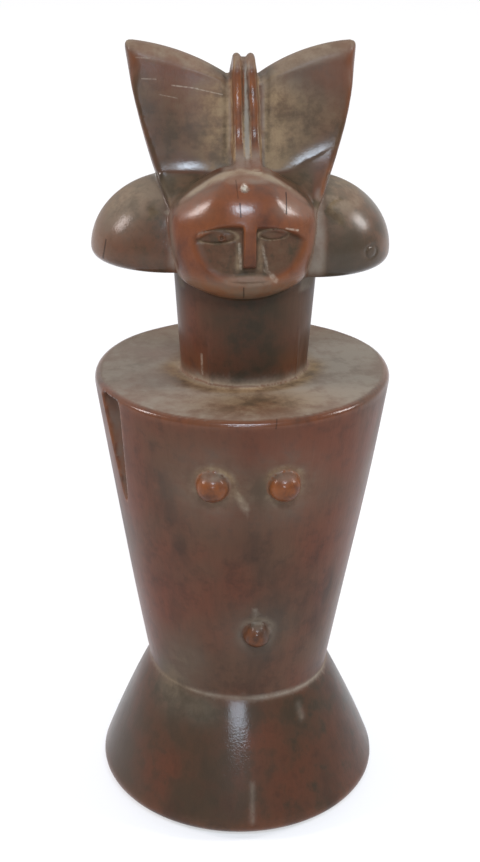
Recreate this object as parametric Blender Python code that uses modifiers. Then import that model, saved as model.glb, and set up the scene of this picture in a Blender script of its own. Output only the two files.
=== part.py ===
"""Carved wooden protective figure, cut from one piece of wood.

A flared foot carries a tapering torso with a flat shoulder. A round neck lifts the head: a small
mask-like face, a round lobe of hair on each side, and two upright wings of hair that are hollowed
in front, with a pair of thin crests between them that run over the crown and down the back.

Metres, +Z up; the outlines below are in millimetres. The origin is the centre of the underside.
The figure faces -Y, so its own right side is at -X.
"""

import math

import bmesh
import bpy
from mathutils import Matrix

MM = 0.001

# Foot, torso and neck: heights and radii.
SOLE_RADIUS = 27.8
FOOT_RADIUS = 30.2
FOOT_EDGE_HEIGHT = 2.2
FOOT_BULGE = 0.5
WAIST_HEIGHT = 28.3
WAIST_RADIUS = 19.3
SHOULDER_HEIGHT = 95.2
SHOULDER_RADIUS = 29.9
SHOULDER_EDGE = 1.6
TORSO_BULGE = 0.3
NECK_FOOT_RADIUS = 12.5
NECK_TOP_RADIUS = 14.2
NECK_TOP_HEIGHT = 120.0
NECK_FILLET = 1.2

# Face: its front is turned about an upright axis that lies behind the neck's.
HEAD_X = -0.75
FACE_AXIS_Y = 6.0
CHIN_HEIGHT = 114.2
FACE_PEAK = 137.5
FOREHEAD_RADIUS = 19.4
BROW_RADIUS = 26.3
BROW_HEIGHT = 127.8
CHIN_RADIUS = 24.6
HOLLOW_DEPTH = 1.7
HOLLOW_FOOT = 117.0
NOSE_X = 0.0
NOSE_WIDTH = 2.5
NOSE_TIP_HEIGHT = 120.9
EYE_HEIGHT = 126.0
EYES = ((-5.9, 3.7), (4.6, 2.7))
MOUTH_HEIGHT = 118.1
MOUTH_X = -0.9

# Side lobes: half sizes and middle of each dome, and the height of its flat underside.
LOBE_HALF = (17.3, 12.0, 14.6)
LOBE_MIDDLES = ((-12.6, 3.0, 119.2), (11.8, 3.0, 119.2))
LOBE_UNDERSIDES = (116.6, 115.7)

# Hair block and wings: its rounded plan, and the two planes of the hollowed front.
BLOCK_HALF_WIDTH = 25.5
BLOCK_HALF_DEPTH = 16.6
HOLLOW_CORNER = (-3.5, 137.6)
HOLLOW_LEAN = math.radians(12.0)
HOLLOW_FLOOR = math.radians(60.0)
HOLLOW_ROUND = 12.0

# Crests between the wings.
CREST_WIDTH = 2.1
CREST_MIDDLES = (-1.7, 1.1)

# Bosses on the torso.
BREAST_HEIGHT = 80.4
BREAST_X = 6.8
BREAST_RADIUS = 3.4
NAVEL_HEIGHT = 45.4
NAVEL_X = 2.4
NAVEL_RADIUS = 2.5

# Notch that runs down the figure's right side.
NOTCH_TOP = 93.4
NOTCH_BOTTOM = 68.5
NOTCH_WIDTH = 7.4
NOTCH_DEPTH = 4.0
NOTCH_TURN = math.radians(63.0)

STEPS = 64


def clear_scene():
    for old in list(bpy.data.objects):
        bpy.data.objects.remove(old, do_unlink=True)


def new_collection(name):
    collection = bpy.data.collections.new(name)
    bpy.context.scene.collection.children.link(collection)
    return collection


def polished_wood(name, colour, roughness):
    material = bpy.data.materials.new(name)
    material.use_nodes = True
    shader = material.node_tree.nodes["Principled BSDF"]
    shader.inputs["Base Color"].default_value = (*colour, 1.0)
    shader.inputs["Roughness"].default_value = roughness
    shader.inputs["Metallic"].default_value = 0.0
    return material


def link_mesh(name, bm, collection):
    bmesh.ops.recalc_face_normals(bm, faces=bm.faces)
    mesh = bpy.data.meshes.new(name)
    bm.to_mesh(mesh)
    bm.free()
    thing = bpy.data.objects.new(name, mesh)
    collection.objects.link(thing)
    return thing


def arc(start, middle, end, count):
    """Points along the circle through three points, both ends included."""
    ax, ay = start
    bx, by = middle
    cx, cy = end
    d = 2 * (ax * (by - cy) + bx * (cy - ay) + cx * (ay - by))
    a2 = ax * ax + ay * ay
    b2 = bx * bx + by * by
    c2 = cx * cx + cy * cy
    ux = (a2 * (by - cy) + b2 * (cy - ay) + c2 * (ay - by)) / d
    uy = (a2 * (cx - bx) + b2 * (ax - cx) + c2 * (bx - ax)) / d
    radius = math.hypot(ax - ux, ay - uy)
    first = math.atan2(ay - uy, ax - ux)
    turn = (math.atan2(cy - uy, cx - ux) - first) % (2 * math.pi)
    halfway = (math.atan2(by - uy, bx - ux) - first) % (2 * math.pi)
    if halfway > turn:
        turn -= 2 * math.pi
    angles = [first + turn * i / (count - 1) for i in range(count)]
    return [(ux + radius * math.cos(a), uy + radius * math.sin(a)) for a in angles]


def bowed(start, end, bulge, count):
    """Points from start to end, bowed outwards by bulge in the middle."""
    middle = ((start[0] + end[0]) / 2 + bulge, (start[1] + end[1]) / 2)
    return arc(start, middle, end, count)


def turned(name, profile, collection, x=0.0, y=0.0, steps=STEPS):
    """A solid of revolution from (radius, height) points that run down the outer side."""
    mesh = bpy.data.meshes.new(name)
    points = [(r * MM, 0.0, z * MM) for r, z in profile]
    mesh.from_pydata(points, [(i, i + 1) for i in range(len(points) - 1)], [])
    thing = bpy.data.objects.new(name, mesh)
    thing.location = (x * MM, y * MM, 0.0)
    collection.objects.link(thing)
    screw = thing.modifiers.new("Turn", "SCREW")
    screw.steps = steps
    screw.render_steps = steps
    screw.use_merge_vertices = True
    screw.merge_threshold = 0.00001
    return thing


def slab(name, outline, low, high, axis, collection):
    """A closed outline given thickness: a front view along Y, a side view along X, a plan along Z."""
    curve = bpy.data.curves.new(name, "CURVE")
    curve.dimensions = "2D"
    curve.fill_mode = "BOTH"
    curve.extrude = (high - low) / 2 * MM
    spline = curve.splines.new("POLY")
    spline.points.add(len(outline) - 1)
    for place, (u, v) in zip(spline.points, outline):
        place.co = (u * MM, v * MM, 0.0, 1.0)
    spline.use_cyclic_u = True
    drawn = bpy.data.objects.new(name + "_outline", curve)
    collection.objects.link(drawn)
    bpy.context.view_layer.update()
    seen = drawn.evaluated_get(bpy.context.evaluated_depsgraph_get())
    mesh = bpy.data.meshes.new_from_object(seen)
    bpy.data.objects.remove(drawn, do_unlink=True)
    bm = bmesh.new()
    bm.from_mesh(mesh)
    bpy.data.meshes.remove(mesh)
    bmesh.ops.remove_doubles(bm, verts=bm.verts, dist=0.00001)
    upright = Matrix.Rotation(math.radians(90.0), 4, "X")
    sideways = Matrix.Rotation(math.radians(90.0), 4, "Z")
    turn = {"X": sideways @ upright, "Y": upright, "Z": Matrix.Identity(4)}[axis]
    shift = Matrix.Translation([(low + high) / 2 * MM if letter == axis else 0.0 for letter in "XYZ"])
    bmesh.ops.transform(bm, matrix=shift @ turn, verts=bm.verts)
    return link_mesh(name, bm, collection)


def ball(name, middle, half, collection, rings=12, segments=24):
    bm = bmesh.new()
    bmesh.ops.create_uvsphere(bm, u_segments=segments, v_segments=rings, radius=1.0)
    size = Matrix.Diagonal((half[0] * MM, half[1] * MM, half[2] * MM, 1.0))
    place = Matrix.Translation([c * MM for c in middle])
    bmesh.ops.transform(bm, matrix=place @ size, verts=bm.verts)
    return link_mesh(name, bm, collection)


def combine(target, tool, operation):
    """A Boolean of one object on another, kept as an exact modifier."""
    step = target.modifiers.new(f"{operation.title()} {tool.name}", "BOOLEAN")
    step.operation = operation
    step.solver = "EXACT"
    step.object = tool
    tool.hide_render = True
    tool.display_type = "WIRE"


def body_profile():
    """Outer side of neck, torso and foot, from the top down."""
    neck = [(0.0, NECK_TOP_HEIGHT), (NECK_TOP_RADIUS, NECK_TOP_HEIGHT)]
    fillet = arc(
        (NECK_FOOT_RADIUS, SHOULDER_HEIGHT + NECK_FILLET),
        (NECK_FOOT_RADIUS + 0.3 * NECK_FILLET, SHOULDER_HEIGHT + 0.3 * NECK_FILLET),
        (NECK_FOOT_RADIUS + NECK_FILLET, SHOULDER_HEIGHT),
        4,
    )
    inset = 0.3 * SHOULDER_EDGE
    rim = arc(
        (SHOULDER_RADIUS - SHOULDER_EDGE, SHOULDER_HEIGHT),
        (SHOULDER_RADIUS - inset, SHOULDER_HEIGHT - inset),
        (SHOULDER_RADIUS, SHOULDER_HEIGHT - SHOULDER_EDGE),
        5,
    )
    torso = bowed(rim[-1], (WAIST_RADIUS, WAIST_HEIGHT), TORSO_BULGE, 8)[1:]
    foot = bowed((WAIST_RADIUS, WAIST_HEIGHT), (FOOT_RADIUS, FOOT_EDGE_HEIGHT), FOOT_BULGE, 6)[1:]
    sole_edge = arc(
        (FOOT_RADIUS, FOOT_EDGE_HEIGHT),
        (FOOT_RADIUS - 0.5, 0.4 * FOOT_EDGE_HEIGHT),
        (SOLE_RADIUS, 0.0),
        4,
    )[1:]
    return neck + fillet + rim + torso + foot + sole_edge + [(0.0, 0.0)]


def face_profile(inset):
    """Radius of the face's front about its own axis, from above the peak down to below the chin."""
    forehead = arc(
        (FOREHEAD_RADIUS - inset, FACE_PEAK + 1.0),
        (BROW_RADIUS - 1.7 - inset, BROW_HEIGHT + 4.6),
        (BROW_RADIUS - inset, BROW_HEIGHT),
        6,
    )
    cheek = arc(
        (BROW_RADIUS - inset, BROW_HEIGHT),
        (BROW_RADIUS - 0.2 - inset, 121.6),
        (CHIN_RADIUS - inset, CHIN_HEIGHT + 1.2),
        6,
    )[1:]
    under = [(CHIN_RADIUS - 1.8 - inset, CHIN_HEIGHT - 0.8), (0.0, CHIN_HEIGHT - 0.8)]
    return [(0.0, FACE_PEAK + 1.0)] + forehead + cheek + under


def mirrored(points):
    return [(-x, z) for x, z in reversed(points)]


def face_outline():
    """Front view of the face: a low gable above straight cheeks and a blunt chin."""
    gable = [(-4.2, FACE_PEAK - 0.3), (-9.3, 134.3), (-14.3, 131.5)]
    cheek = arc((-14.3, 131.5), (-13.1, 124.0), (-11.0, 117.1), 5)[1:]
    jaw = arc((-11.0, 117.1), (-9.2, 115.3), (-4.6, CHIN_HEIGHT + 0.2), 5)[1:]
    half = gable + cheek + jaw
    whole = [(0.0, FACE_PEAK)] + half + [(0.0, CHIN_HEIGHT)] + mirrored(half)
    return [(x + HEAD_X, z) for x, z in whole]


def hollow_face_outline():
    """Front view of the sunk part of the face, with the nose left standing."""
    nose_right = NOSE_X - NOSE_WIDTH / 2
    nose_left = NOSE_X + NOSE_WIDTH / 2
    right = arc((nose_right, 128.9), (-6.0, 128.4), (-10.2, 126.2), 5)
    right += arc((-10.2, 126.2), (-9.2, 121.4), (-5.4, HOLLOW_FOOT), 5)[1:]
    left = arc((3.6, HOLLOW_FOOT), (7.6, 121.2), (9.0, 126.6), 5)
    left += arc((9.0, 126.6), (5.2, 128.6), (nose_left, 128.9), 5)[1:]
    return right + left + [(nose_left, NOSE_TIP_HEIGHT), (nose_right, NOSE_TIP_HEIGHT)]


def hair_outline():
    """Front view of the hair: a block behind the face that spreads into two wings."""
    right_side = arc((-14.7, 127.5), (-19.7, 143.8), (-22.2, 156.0), 8)
    right_tip = arc((-22.2, 156.0), (-21.8, 157.9), (-20.4, 158.4), 4)[1:]
    right_top = arc((-20.4, 158.4), (-12.4, 156.6), (-3.9, 152.4), 7)[1:]
    left_top = arc((2.9, 152.4), (10.6, 156.7), (18.6, 158.7), 7)
    left_tip = arc((18.6, 158.7), (20.1, 158.3), (20.6, 156.5), 4)[1:]
    left_side = arc((20.6, 156.5), (18.6, 143.0), (13.8, 127.5), 8)[1:]
    foot = CHIN_HEIGHT + 1.0
    return right_side + right_tip + right_top + left_top + left_tip + left_side + [(12.2, foot), (-13.4, foot)]


def hair_plan():
    """Plan view that rounds the hair block's front and back."""
    turns = [2 * math.pi * i / STEPS for i in range(STEPS)]
    return [(HEAD_X + BLOCK_HALF_WIDTH * math.cos(t), BLOCK_HALF_DEPTH * math.sin(t)) for t in turns]


def hollow_front_outline():
    """Side view of what is cut away in front of the wings: a steep plane that rounds into a floor."""
    corner_y, corner_z = HOLLOW_CORNER
    half_turn = (HOLLOW_FLOOR - HOLLOW_LEAN) / 2
    middle_turn = (HOLLOW_FLOOR + HOLLOW_LEAN) / 2
    tangent = HOLLOW_ROUND * math.tan(half_turn)
    gap = HOLLOW_ROUND / math.cos(half_turn) - HOLLOW_ROUND

    def up(length):
        return (corner_y + length * math.sin(HOLLOW_LEAN), corner_z + length * math.cos(HOLLOW_LEAN))

    def forward(length):
        return (corner_y - length * math.sin(HOLLOW_FLOOR), corner_z - length * math.cos(HOLLOW_FLOOR))

    middle = (corner_y - gap * math.cos(middle_turn), corner_z + gap * math.sin(middle_turn))
    top = up(26.0)
    front = forward(16.0)
    return [top] + arc(up(tangent), middle, forward(tangent), 8) + [front, (-40.0, front[1]), (-40.0, top[1])]


def cut_back_outline():
    """Side view of what is cut away behind the wings."""
    back = arc((5.2, 162.0), (11.0, 146.0), (17.0, 126.0), 8)
    return back + [(30.0, 126.0), (30.0, 162.0)]


def crest_outline():
    """Side view of a crest: up the front, over the crown and down the back."""
    front = arc((-12.6, 138.0), (-5.4, 141.9), (-2.5, 152.2), 8)
    crown = arc((-2.5, 152.2), (1.6, 155.9), (6.6, 154.2), 6)[1:]
    back = arc((6.6, 154.2), (14.6, 141.0), (17.6, 124.0), 8)[1:]
    inside = [(16.6, CHIN_HEIGHT + 2.0), (10.0, CHIN_HEIGHT + 2.0), (5.0, 148.0), (-1.0, 146.0)]
    return front + crown + back + inside + [(-5.0, 134.0), (-12.6, 134.0)]


def add_head(figure, tools):
    """The hair block with its wings, lobes and crests, and the face in front of it."""
    hair = slab("Hair", hair_outline(), -18.0, 20.0, "Y", tools)
    combine(hair, slab("Hair_Plan", hair_plan(), 100.0, 170.0, "Z", tools), "INTERSECT")
    combine(hair, slab("Hollow_Front", hollow_front_outline(), -40.0, 40.0, "X", tools), "DIFFERENCE")
    combine(hair, slab("Cut_Back", cut_back_outline(), -40.0, 40.0, "X", tools), "DIFFERENCE")
    combine(figure, hair, "UNION")

    for side, middle, underside in zip(("Right", "Left"), LOBE_MIDDLES, LOBE_UNDERSIDES):
        lobe = ball(f"Lobe_{side}", middle, LOBE_HALF, tools, 20, 36)
        box = [(-40.0, 80.0), (40.0, 80.0), (40.0, underside), (-40.0, underside)]
        combine(lobe, slab(f"Below_{side}", box, -30.0, 30.0, "Y", tools), "DIFFERENCE")
        combine(figure, lobe, "UNION")

    for side, middle in zip(("Right", "Left"), CREST_MIDDLES):
        half = CREST_WIDTH / 2
        crest = slab(f"Crest_{side}", crest_outline(), middle - half, middle + half, "X", tools)
        combine(figure, crest, "UNION")

    face = turned("Face", face_profile(0.0), tools, HEAD_X, FACE_AXIS_Y, 96)
    combine(face, slab("Face_Front", face_outline(), -26.0, -7.0, "Y", tools), "INTERSECT")
    combine(figure, face, "UNION")


def carve_face(figure, tools):
    """The sunk cheeks on both sides of the nose, with the eyes and mouth left a little raised."""
    hollow = slab("Face_Hollow", hollow_face_outline(), -30.0, -9.0, "Y", tools)
    floor = turned("Hollow_Floor", face_profile(HOLLOW_DEPTH), tools, HEAD_X, FACE_AXIS_Y, 96)
    combine(hollow, floor, "DIFFERENCE")
    combine(figure, hollow, "DIFFERENCE")

    def floor_y(x):
        return FACE_AXIS_Y - math.sqrt((BROW_RADIUS - HOLLOW_DEPTH) ** 2 - (x - HEAD_X) ** 2)

    for number, (x, half_width) in enumerate(EYES):
        eye = ball(f"Eye_{number}", (x, floor_y(x) + 0.1, EYE_HEIGHT), (half_width, 0.8, 1.0), tools, 8, 16)
        combine(figure, eye, "UNION")
    mouth = ball("Mouth", (MOUTH_X, floor_y(MOUTH_X) + 0.5, MOUTH_HEIGHT), (2.6, 1.1, 0.7), tools, 8, 16)
    combine(figure, mouth, "UNION")


def torso_reach(height):
    """Radius of the torso at a height between waist and shoulder."""
    share = (height - WAIST_HEIGHT) / (SHOULDER_HEIGHT - WAIST_HEIGHT)
    return WAIST_RADIUS + share * (SHOULDER_RADIUS - WAIST_RADIUS)


def add_bosses(figure, tools):
    """Breasts and navel, left standing on the front of the torso."""
    bosses = (
        ("Breast_Right", -BREAST_X, BREAST_HEIGHT, BREAST_RADIUS),
        ("Breast_Left", BREAST_X, BREAST_HEIGHT, BREAST_RADIUS),
        ("Navel", NAVEL_X, NAVEL_HEIGHT, NAVEL_RADIUS),
    )
    for name, x, height, radius in bosses:
        y = -math.sqrt(torso_reach(height) ** 2 - x * x)
        combine(figure, ball(name, (x, y, height), (radius,) * 3, tools), "UNION")


def cut_notch(figure, tools):
    """A wedge that runs down the figure's right side, widest and deepest at the top."""
    height = (NOTCH_TOP + NOTCH_BOTTOM) / 2
    lean = math.atan2(SHOULDER_RADIUS - WAIST_RADIUS, SHOULDER_HEIGHT - WAIST_HEIGHT)
    bm = bmesh.new()
    bmesh.ops.create_cone(
        bm, cap_ends=True, segments=16, radius1=0.25 * MM, radius2=NOTCH_WIDTH / 2 * MM,
        depth=(NOTCH_TOP - NOTCH_BOTTOM) * MM,
    )
    place = (
        Matrix.Rotation(-NOTCH_TURN, 4, "Z")
        @ Matrix.Translation((0.0, -torso_reach(height) * MM, height * MM))
        @ Matrix.Rotation(lean, 4, "X")
        @ Matrix.Diagonal((1.0, 2 * NOTCH_DEPTH / NOTCH_WIDTH, 1.0, 1.0))
    )
    bmesh.ops.transform(bm, matrix=place, verts=bm.verts)
    combine(figure, link_mesh("Notch", bm, tools), "DIFFERENCE")


def build():
    clear_scene()
    parts = new_collection("Protective_Figure")
    tools = new_collection("Cutters")
    figure = turned("figure", body_profile(), parts)
    figure.data.materials.append(polished_wood("Dark_Hardwood", (0.118, 0.058, 0.042), 0.33))
    add_head(figure, tools)
    carve_face(figure, tools)
    add_bosses(figure, tools)
    cut_notch(figure, tools)


build()
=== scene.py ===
"""Looks of the carved wooden protective figure.

The figure is one piece of wood. Its form is written as a signed distance in millimetres, negative inside,
and built from a few turned, flat and domed shapes that are blended where the carver blended them.
The distance is sampled on a grid, turned into one closed mesh, and the mesh is drawn onto the exact form.
The figure faces -Y, so its own right side is at -X.

smooth_min joins two shapes and smooth_max cuts one by another, each with a rounding given last. step fades
from 0 to 1 over a width, near is a soft ridge around a value, and bump_at is a soft spot. Lengths are in mm.
"""

import math
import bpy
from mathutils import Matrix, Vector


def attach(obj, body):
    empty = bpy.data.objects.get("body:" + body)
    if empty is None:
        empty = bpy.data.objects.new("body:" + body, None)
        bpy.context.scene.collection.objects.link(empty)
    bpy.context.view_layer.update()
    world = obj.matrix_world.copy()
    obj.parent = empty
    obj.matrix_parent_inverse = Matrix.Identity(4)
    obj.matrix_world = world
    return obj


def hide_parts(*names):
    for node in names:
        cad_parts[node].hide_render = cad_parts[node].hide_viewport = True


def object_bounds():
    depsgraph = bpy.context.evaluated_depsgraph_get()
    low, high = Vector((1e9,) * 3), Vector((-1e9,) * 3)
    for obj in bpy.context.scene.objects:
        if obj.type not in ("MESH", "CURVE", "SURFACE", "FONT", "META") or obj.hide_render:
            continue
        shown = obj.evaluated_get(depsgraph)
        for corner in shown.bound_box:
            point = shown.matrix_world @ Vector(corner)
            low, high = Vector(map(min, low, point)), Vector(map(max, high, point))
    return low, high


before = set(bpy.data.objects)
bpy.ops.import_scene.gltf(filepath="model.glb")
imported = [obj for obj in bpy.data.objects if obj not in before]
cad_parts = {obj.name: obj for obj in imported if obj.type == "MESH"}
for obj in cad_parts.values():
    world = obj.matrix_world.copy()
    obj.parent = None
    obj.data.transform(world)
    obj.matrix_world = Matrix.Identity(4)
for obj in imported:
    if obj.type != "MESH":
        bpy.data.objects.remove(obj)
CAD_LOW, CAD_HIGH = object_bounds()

from types import SimpleNamespace

import bmesh
import bpy
import numpy as np
from mathutils import Vector

MM = 0.001
TINY = 1e-6

# Foot, torso and neck: heights and radii.
SOLE_RADIUS = 27.2
SOLE_FLARE = 1.1
SOLE_ROUND = 1.4
SOLE_EDGE_ROUND = 1.8
FOOT_RADIUS = 30.85
FOOT_X = 0.12
FOOT_BULGE = 0.5
FOOT_EDGE_HEIGHT = 2.2
WAIST_HEIGHT = 28.3
WAIST_RADIUS = 19.3
WAIST_TILT = -0.03
WAIST_FILLET = 0.35
SHOULDER_HEIGHT = 95.2
SHOULDER_RADIUS = 30.0
SHOULDER_ROUND = 1.8
SHOULDER_TILT = (0.014, 0.02)
SHOULDER_WAVE = 0.12
TORSO_BULGE = 0.3
TORSO_TENON = 8.0
NECK_X = 0.35
NECK_FOOT_RADIUS = 12.7
NECK_TOP_RADIUS = 14.35
NECK_LENGTH = 24.8
NECK_ENDS = (90.0, 126.0)
NECK_FILLET = 0.9
NECK_CUTS = ((math.radians(-32.0), -1.0), (math.radians(50.0), 1.0))
NECK_CUT_DEPTH = 0.3

# Bosses and notch on the torso. A navel cut is a plane: its slope in x, z and y, and its reach in radii.
BREAST_HEIGHT = 80.4
BREAST_X = 6.8
BREAST_RADIUS = 3.1
NAVEL_HEIGHT = 45.2
NAVEL_X = 2.4
NAVEL_RADIUS = 2.8
NAVEL_CUTS = ((0.86, 0.3, 0.4, 0.82), (-0.8, 0.42, 0.42, 0.84))
BOSS_SUNK = 0.3
BOSS_DISH = 0.45
BOSS_FILLET = 0.5
NOTCH_TOP = 93.6
NOTCH_BOTTOM = 71.0
NOTCH_POINT = 0.3
NOTCH_HALF_WIDTH = 3.7
NOTCH_DEPTH = 4.0
NOTCH_TURN = math.radians(63.0)
NOTCH_ROUND = 0.5

# Head: the face's front is turned about an upright axis that lies behind the neck's.
HEAD_X = -0.75
HEAD_FOOT = 112.0
HEAD_ALONE = 130.0
HEAD_FILLET = 0.6
FACE_AXIS_Y = 6.0
FACE_BACK_Y = -8.0
FACE_FLAT = 56.0
FACE_BEND_X = 5.5
FACE_BEND_WIDTH = 1.8
FACE_FILLET = 0.5
CHIN_HEIGHT = 113.0
CHIN_BEND = 0.021
GABLE_SLOPE = math.radians(55.8)
GABLE_PEAK = 140.9
GABLE_ROUND = 11.0
PIT = (-0.9, -16.5, 134.9)
PIT_RADIUS = 0.75
# Each eye: its middle (x, height), half size and tilt. Then how far it stands out of the sunk cheek.
EYES = (((-6.0, 126.45), (3.9, 1.35), 0.10), ((4.5, 126.9), (2.9, 1.1), -0.05))
EYE_LIFTS = (0.45, 0.38)
PUPIL = (-5.0, 126.35)
LIPS = ((0.2, 118.7), (4.6, 0.95), 0.0)
LIPS_LIFT = 0.5
NOSE_X = 0.05
NOSE_HALF_WIDTH = 1.42

# Hair block with its wings, the round lobes beside it and the pair of crests over it.
MIDDLE_X = 0.2
HAIR_FOOT = 116.6
BLOCK_HALF_WIDTH = 25.5
BLOCK_HALF_DEPTH = 16.6
VALLEY_HEIGHT = 134.9
VALLEY_Y = -5.3
VALLEY_RISE = 0.5
VALLEY_RETREAT = 0.28
VALLEY_TURN_X = 9.3
VALLEY_TURN_WIDTH = 1.5
RIM_Y = -12.2
RIM_BEND = 0.019
HOLLOW_LEAN = math.radians(12.0)
HOLLOW_CURVE = 0.055
CURL_HEIGHT = 3.5
LEFT_WING_X = 7.0
LOBE_HALF = (17.3, 14.0, 14.6)
LOBE_MIDDLES = ((-12.6, 3.0, 119.2), (11.8, 3.0, 119.2))
LOBE_UNDERSIDES = (116.9, 115.9)
LOBE_EDGE_ROUND = 2.6
LOBE_FILLET = 0.7
# Ring of a knot: x, height and radius.
KNOT = (24.2, 120.4, 1.2)
KNOT_DEPTH = 0.16
CREST_HALF_WIDTH = 0.85
CREST_FOOT = 130.0
CREST_FILLET = 0.45
CREST_GAP_X = 0.05
CREST_GAP_HALF = 1.3
CREST_GAP_DEPTH = 0.65
GROOVE_X = 0.15
GROOVE_OFF = 3.7
GROOVE_DEPTH = 0.3

# A distance measured along an axis is too long on a slanting surface. These shares make it true again.
TORSO_TRUE = 0.988
FOOT_TRUE = 0.923
SOLE_TRUE = 0.67
NOTCH_TOP_TRUE = 0.9
CHEEK_TRUE = 0.98
CHIN_TRUE = 0.93
HAIR_SIDE_TRUE = 0.96
HAIR_TOP_TRUE = 0.93
HAIR_BACK_TRUE = 0.94
WALL_TRUE = 0.95
FLOOR_TRUE = 0.93
CREST_FRONT_TRUE = 0.9
CREST_TOP_TRUE = 0.95
CREST_BACK_TRUE = 0.94
CREST_SIDE_TRUE = 0.98

# Fine marks as seen from the front: x and height of their start and of their end, width and strength.
CRACKS = (
    (-2.4, 136.0, -2.1, 133.4, 0.16, 0.4), (-1.8, 132.6, -1.65, 130.4, 0.18, 0.75),
    (6.85, 133.6, 6.75, 130.4, 0.16, 0.85), (-0.95, 117.0, -0.8, 114.2, 0.16, 0.7),
    (-26.6, 122.4, -27.3, 118.6, 0.2, 0.6), (4.95, 94.9, 4.75, 93.2, 0.2, 0.5),
    (1.5, 43.2, 3.2, 42.7, 0.3, 0.7),
)
SCRATCHES = (
    (-20.4, 155.7, -17.8, 155.6, 0.16, 0.4), (-19.4, 152.0, -16.7, 151.9, 0.14, 0.35),
    (-13.8, 150.8, -9.0, 150.2, 0.18, 0.5), (-9.4, 150.2, -4.4, 149.2, 0.16, 0.4),
    (-16.2, 149.2, -12.8, 148.5, 0.14, 0.3), (-8.45, 100.8, -8.3, 96.6, 0.3, 0.4),
    (2.4, 124.6, 2.9, 122.6, 0.4, 0.4), (3.0, 122.4, 3.3, 120.4, 0.45, 0.35),
    (3.0, 120.2, 4.4, 119.0, 0.5, 0.3), (4.3, 119.0, 5.1, 118.0, 0.7, 0.35),
    (-1.8, 125.2, -1.7, 122.6, 0.4, 0.5), (-1.6, 122.6, -1.55, 120.6, 0.35, 0.4),
    (6.7, 127.9, 9.0, 127.2, 0.28, 0.6), (-0.93, 134.95, -0.87, 134.9, 0.85, 1.5),
)
# Soft smears of dust, given in the same way, on the front of the torso and the foot.
SMEARS = (
    (-4.4, 83.6, -2.8, 80.4, 0.8, 0.6), (-2.8, 80.4, -0.5, 75.8, 0.8, 0.85),
    (1.8, 11.9, 1.7, 4.8, 0.5, 0.38), (11.8, 25.0, 12.6, 22.5, 0.6, 0.3),
    (2.0, 51.5, 1.9, 49.0, 0.5, 0.5), (5.2, 46.8, 5.4, 45.2, 0.6, 0.4),
)

# Mesh: the grid's ends and the ends of its close stretch, the two spacings, and the triangles aimed at.
GRID_X = (-32.0, 32.0, -16.5, 16.5)
GRID_Y = (-32.0, 32.0, -21.5, -8.0)
GRID_Z = (-1.5, 160.0, 112.5, 157.5)
FINE = 0.3
COARSE = 0.62
LAYERS = 16
TRIANGLES = 190000
UNEVEN = 0.006
SEED = 7

# What each vertex carries for the material.
LAYER_NAMES = ("dust", "ochre", "warm", "dark", "gloss")

# Camera: place in metres, turn in degrees, lens in mm.
CAMERA_PLACE = (-0.015057, -0.261752, 0.190010)
CAMERA_TURN = (67.339, -0.669, -2.963)
CAMERA_LENS = 57.33


# -------- shapes

def smooth_min(a, b, k):
    h = np.maximum(k - np.abs(a - b), 0.0) / k
    return np.minimum(a, b) - h * h * k / 4


def smooth_max(a, b, k):
    return -smooth_min(-a, -b, k)


def step(value, width):
    """0 below zero, 1 above width, and smooth between."""
    t = np.clip(value / width, 0.0, 1.0)
    return t * t * (3 - 2 * t)


def within(value, low, high, rise_width, fall_width=None):
    """1 between low and high, fading to 0 towards each of them over its own width."""
    return step(value - low, rise_width) * step(high - value, fall_width or rise_width)


def near(value, middle, width, power=2):
    """1 at the middle, fading on both sides over the width."""
    return np.exp(-(((value - middle) / width) ** power))


def arc(start, middle, end, count=48):
    """Rows of points on the circle through three points."""
    (ax, ay), (bx, by), (cx, cy) = start, middle, end
    d = 2 * (ax * (by - cy) + bx * (cy - ay) + cx * (ay - by))
    a2, b2, c2 = ax * ax + ay * ay, bx * bx + by * by, cx * cx + cy * cy
    ux = (a2 * (by - cy) + b2 * (cy - ay) + c2 * (ay - by)) / d
    uy = (a2 * (cx - bx) + b2 * (ax - cx) + c2 * (bx - ax)) / d
    first = math.atan2(ay - uy, ax - ux)
    turn = (math.atan2(cy - uy, cx - ux) - first) % (2 * math.pi)
    halfway = (math.atan2(by - uy, bx - ux) - first) % (2 * math.pi)
    if halfway > turn:
        turn -= 2 * math.pi
    angle = first + turn * np.linspace(0.0, 1.0, count)
    radius = math.hypot(ax - ux, ay - uy)
    return np.stack([ux + radius * np.cos(angle), uy + radius * np.sin(angle)], 1)


def smooth_curve(points, count=12):
    """A Catmull-Rom curve through a few points."""
    p = np.array([points[0], *points, points[-1]], float)
    rows = []
    for i in range(1, len(p) - 2):
        t = np.linspace(0.0, 1.0, count, endpoint=False)[:, None]
        a, b, c, d = p[i - 1], p[i], p[i + 1], p[i + 2]
        square, cube = 2 * a - 5 * b + 4 * c - d, 3 * b - a - 3 * c + d
        rows.append(0.5 * (2 * b + (c - a) * t + square * t**2 + cube * t**3))
    return np.vstack([*rows, p[-1:]])


def reader(points, given):
    """A function that reads a curve: its other coordinate where coordinate number `given` has a value."""
    points = np.asarray(points, float)
    order = np.argsort(points[:, given], kind="stable")
    known, wanted = points[order, given], points[order, 1 - given]
    return lambda value: np.interp(value, known, wanted)


def swell(x, y, z):
    """Shallow waviness left by hand carving, about 0.1 mm."""
    turn = np.arctan2(x, -y)
    slow = np.sin(z / 9.0 + 1.3 + 1.5 * np.sin(turn)) * np.cos(2.0 * turn + 0.7)
    long_cuts = np.sin(7.0 * turn + 0.05 * z) + 0.6 * np.sin(12.0 * turn - 0.03 * z + 1.0)
    return 0.07 * slow + 0.035 * long_cuts


# -------- torso, foot and neck

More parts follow.
